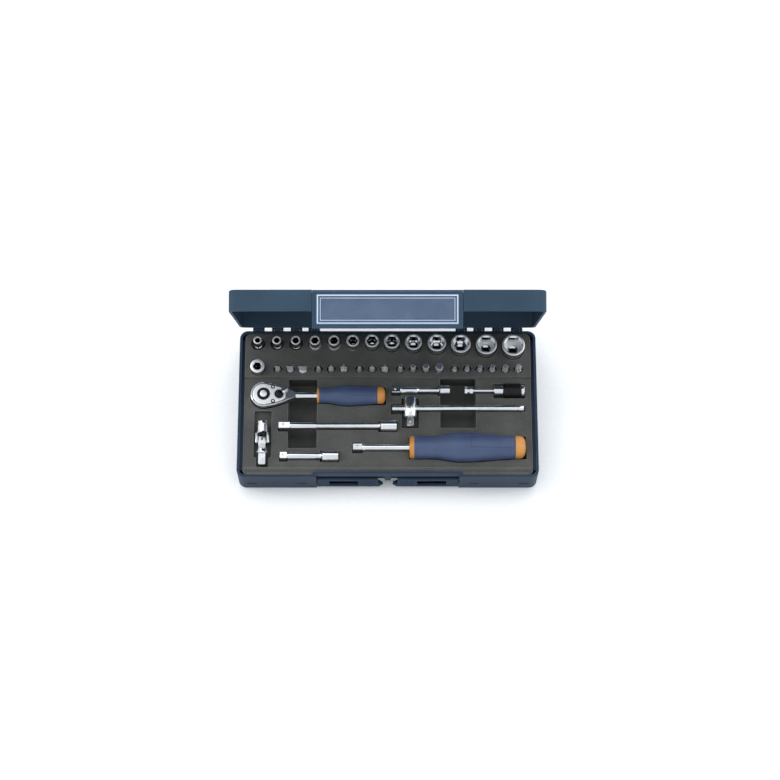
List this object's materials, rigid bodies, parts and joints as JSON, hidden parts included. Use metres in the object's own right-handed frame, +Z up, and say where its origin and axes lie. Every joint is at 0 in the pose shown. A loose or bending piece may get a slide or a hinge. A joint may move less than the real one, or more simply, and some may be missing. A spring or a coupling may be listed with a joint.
{
  "type": "socket wrench set in case",
  "caption": "Hinged plastic case, open, with upright hex sockets and driver bits, a ratchet, spinner handle, sliding T handle, universal joint, extensions and a bit holder in fitted pockets.",
  "frame": {"origin": "centre of the base's bottom face", "axes": "+Z up, +X along the case to the right, the opening front towards -Y; the lid is hinged along the back at +Y"},
  "size_m": [0.2586, 0.1531, 0.1667],
  "materials": {
    "case_plastic": "fine-textured moulded polypropylene",
    "lid_plastic": "fine-textured moulded polypropylene",
    "flap_plastic": "fine-textured moulded polypropylene",
    "latch_plastic": "fine-textured moulded polypropylene",
    "window_clear": "clear tinted acrylic",
    "insert_foam": "matt moulded insert",
    "pin_steel": "drawn steel",
    "chrome_vanadium": "bright chrome",
    "satin_chrome": "satin chrome",
    "bit_steel": "sandblasted steel",
    "black_steel": "blackened steel",
    "grip_blue": "satin two-component grip",
    "orange_plastic": "satin moulded plastic"
  },
  "bodies": {
    "case": {"base_shell": "case_plastic", "rack_insert": "insert_foam", "tool_insert": "insert_foam", "hinge_pins": "pin_steel", "latch_pins": "pin_steel"},
    "lid": {"lid_shell": "lid_plastic", "flap_pins": "pin_steel"},
    "flap": {"flap_frame": "flap_plastic", "flap_window": "window_clear"},
    "left_latch": {"latch_left": "latch_plastic"},
    "right_latch": {"latch_right": "latch_plastic"},
    "socket_4mm_body": {"socket_4mm": "chrome_vanadium"},
    "socket_4_5mm_body": {"socket_4_5mm": "chrome_vanadium"},
    "socket_5mm_body": {"socket_5mm": "chrome_vanadium"},
    "socket_5_5mm_body": {"socket_5_5mm": "chrome_vanadium"},
    "socket_6mm_body": {"socket_6mm": "chrome_vanadium"},
    "socket_7mm_body": {"socket_7mm": "chrome_vanadium"},
    "socket_8mm_body": {"socket_8mm": "chrome_vanadium"},
    "socket_9mm_body": {"socket_9mm": "chrome_vanadium"},
    "socket_10mm_body": {"socket_10mm": "chrome_vanadium"},
    "socket_11mm_body": {"socket_11mm": "chrome_vanadium"},
    "socket_12mm_body": {"socket_12mm": "chrome_vanadium"},
    "socket_13mm_body": {"socket_13mm": "chrome_vanadium"},
    "socket_14mm_body": {"socket_14mm": "chrome_vanadium"},
    "adapter": {"bit_adapter": "chrome_vanadium"},
    "slotted_set": {"slotted_bits": "bit_steel"},
    "cross_set": {"cross_bits": "bit_steel"},
    "ribbed_cross_set": {"ribbed_cross_bits": "bit_steel"},
    "hex_set": {"hex_bits": "bit_steel"},
    "six_lobe_set": {"six_lobe_bits": "bit_steel"},
    "ratchet": {"ratchet_body": "satin_chrome", "ratchet_cover": "satin_chrome", "ratchet_screws": "black_steel", "ratchet_collar": "orange_plastic", "ratchet_grip": "grip_blue", "ratchet_cap": "orange_plastic"},
    "ratchet_spindle": {"ratchet_drive": "black_steel"},
    "release_button": {"ratchet_button": "chrome_vanadium"},
    "reversing_lever": {"ratchet_lever": "satin_chrome"},
    "driver": {"driver_shaft": "satin_chrome", "driver_collar": "orange_plastic", "driver_grip": "grip_blue", "driver_cap": "orange_plastic"},
    "tee_handle": {"tee_bar": "satin_chrome"},
    "tee_slider": {"tee_head": "chrome_vanadium"},
    "joint_fork": {"joint_socket": "chrome_vanadium"},
    "joint_centre": {"joint_cross": "satin_chrome"},
    "joint_square": {"joint_drive": "chrome_vanadium"},
    "long_extension_body": {"long_extension": "satin_chrome"},
    "short_extension_body": {"short_extension": "satin_chrome"},
    "bit_extension_body": {"bit_extension": "satin_chrome"},
    "bit_holder": {"holder_body": "satin_chrome"},
    "quick_sleeve": {"holder_sleeve": "black_steel"}
  },
  "joints": [
    {"name": "lid_hinge", "type": "hinge", "parent": "case", "child": "lid", "pos_m": [0, 0.069, 0.0312], "axis": [-1, 0, 0], "range_deg": [-74, 26]},
    {"name": "flap_hinge", "type": "hinge", "parent": "lid", "child": "flap", "pos_m": [0, 0.04815, 0.16524], "axis": [-1, 0, 0], "range_deg": [0, 110]},
    {"name": "left_latch_press", "type": "hinge", "parent": "case", "child": "left_latch", "pos_m": [-0.035, -0.0634, 0.016], "axis": [1, 0, 0], "range_deg": [0, 9], "stiffness_Nm_per_rad": 0.02, "springref_deg": -17.19},
    {"name": "right_latch_press", "type": "hinge", "parent": "case", "child": "right_latch", "pos_m": [0.035, -0.0634, 0.016], "axis": [1, 0, 0], "range_deg": [0, 9], "stiffness_Nm_per_rad": 0.02, "springref_deg": -17.19},
    {"name": "socket_4mm_lift", "type": "slide", "parent": "case", "child": "socket_4mm_body", "axis": [0, 0, 1], "range_m": [0, 0.055]},
    {"name": "socket_4_5mm_lift", "type": "slide", "parent": "case", "child": "socket_4_5mm_body", "axis": [0, 0, 1], "range_m": [0, 0.055]},
    {"name": "socket_5mm_lift", "type": "slide", "parent": "case", "child": "socket_5mm_body", "axis": [0, 0, 1], "range_m": [0, 0.055]},
    {"name": "socket_5_5mm_lift", "type": "slide", "parent": "case", "child": "socket_5_5mm_body", "axis": [0, 0, 1], "range_m": [0, 0.055]},
    {"name": "socket_6mm_lift", "type": "slide", "parent": "case", "child": "socket_6mm_body", "axis": [0, 0, 1], "range_m": [0, 0.055]},
    {"name": "socket_7mm_lift", "type": "slide", "parent": "case", "child": "socket_7mm_body", "axis": [0, 0, 1], "range_m": [0, 0.055]},
    {"name": "socket_8mm_lift", "type": "slide", "parent": "case", "child": "socket_8mm_body", "axis": [0, 0, 1], "range_m": [0, 0.055]},
    {"name": "socket_9mm_lift", "type": "slide", "parent": "case", "child": "socket_9mm_body", "axis": [0, 0, 1], "range_m": [0, 0.055]},
    {"name": "socket_10mm_lift", "type": "slide", "parent": "case", "child": "socket_10mm_body", "axis": [0, 0, 1], "range_m": [0, 0.055]},
    {"name": "socket_11mm_lift", "type": "slide", "parent": "case", "child": "socket_11mm_body", "axis": [0, 0, 1], "range_m": [0, 0.055]},
    {"name": "socket_12mm_lift", "type": "slide", "parent": "case", "child": "socket_12mm_body", "axis": [0, 0, 1], "range_m": [0, 0.055]},
    {"name": "socket_13mm_lift", "type": "slide", "parent": "case", "child": "socket_13mm_body", "axis": [0, 0, 1], "range_m": [0, 0.055]},
    {"name": "socket_14mm_lift", "type": "slide", "parent": "case", "child": "socket_14mm_body", "axis": [0, 0, 1], "range_m": [0, 0.055]},
    {"name": "adapter_lift", "type": "slide", "parent": "case", "child": "adapter", "axis": [0, 0, 1], "range_m": [0, 0.06]},
    {"name": "slotted_lift", "type": "slide", "parent": "case", "child": "slotted_set", "axis": [0, 0, 1], "range_m": [0, 0.06]},
    {"name": "cross_lift", "type": "slide", "parent": "case", "child": "cross_set", "axis": [0, 0, 1], "range_m": [0, 0.06]},
    {"name": "ribbed_cross_lift", "type": "slide", "parent": "case", "child": "ribbed_cross_set", "axis": [0, 0, 1], "range_m": [0, 0.06]},
    {"name": "hex_lift", "type": "slide", "parent": "case", "child": "hex_set", "axis": [0, 0, 1], "range_m": [0, 0.06]},
    {"name": "six_lobe_lift", "type": "slide", "parent": "case", "child": "six_lobe_set", "axis": [0, 0, 1], "range_m": [0, 0.06]},
    {"name": "ratchet_lift", "type": "slide", "parent": "case", "child": "ratchet", "axis": [0, 0, 1], "range_m": [0, 0.07]},
    {"name": "ratchet_spin", "type": "hinge", "parent": "ratchet", "child": "ratchet_spindle", "pos_m": [-0.1074, 0.0072, 0.031], "axis": [0, 0, 1], "continuous": true},
    {"name": "button_press", "type": "slide", "parent": "ratchet_spindle", "child": "release_button", "axis": [0, 0, -1], "range_m": [0, 0.0012], "stiffness_N_per_m": 400, "springref_m": -0.001},
    {"name": "lever_swing", "type": "hinge", "parent": "ratchet", "child": "reversing_lever", "pos_m": [-0.094, 0.0068, 0.036], "axis": [0, 0, 1], "range_deg": [-84, 0]},
    {"name": "driver_lift", "type": "slide", "parent": "case", "child": "driver", "axis": [0, 0, 1], "range_m": [0, 0.07]},
    {"name": "tee_lift", "type": "slide", "parent": "case", "child": "tee_handle", "axis": [0, 0, 1], "range_m": [0, 0.07]},
    {"name": "tee_slide", "type": "slide", "parent": "tee_handle", "child": "tee_slider", "axis": [1, 0, 0], "range_m": [-0.0015, 0.0015]},
    {"name": "joint_lift", "type": "slide", "parent": "case", "child": "joint_fork", "axis": [0, 0, 1], "range_m": [0, 0.07]},
    {"name": "joint_pitch", "type": "hinge", "parent": "joint_fork", "child": "joint_centre", "pos_m": [-0.1078, -0.0345, 0.031], "axis": [-1, 0, 0], "range_deg": [0, 60]},
    {"name": "joint_yaw", "type": "hinge", "parent": "joint_centre", "child": "joint_square", "pos_m": [-0.1078, -0.0345, 0.031], "axis": [0, 0, 1], "range_deg": [-4, 4]},
    {"name": "long_extension_lift", "type": "slide", "parent": "case", "child": "long_extension_body", "axis": [0, 0, 1], "range_m": [0, 0.07]},
    {"name": "short_extension_lift", "type": "slide", "parent": "case", "child": "short_extension_body", "axis": [0, 0, 1], "range_m": [0, 0.07]},
    {"name": "bit_extension_lift", "type": "slide", "parent": "case", "child": "bit_extension_body", "axis": [0, 0, 1], "range_m": [0, 0.07]},
    {"name": "holder_lift", "type": "slide", "parent": "case", "child": "bit_holder", "axis": [0, 0, 1], "range_m": [0, 0.07]},
    {"name": "sleeve_slide", "type": "slide", "parent": "bit_holder", "child": "quick_sleeve", "axis": [-1, 0, 0], "range_m": [0, 0.004], "stiffness_N_per_m": 300, "springref_m": -0.003}
  ]
}
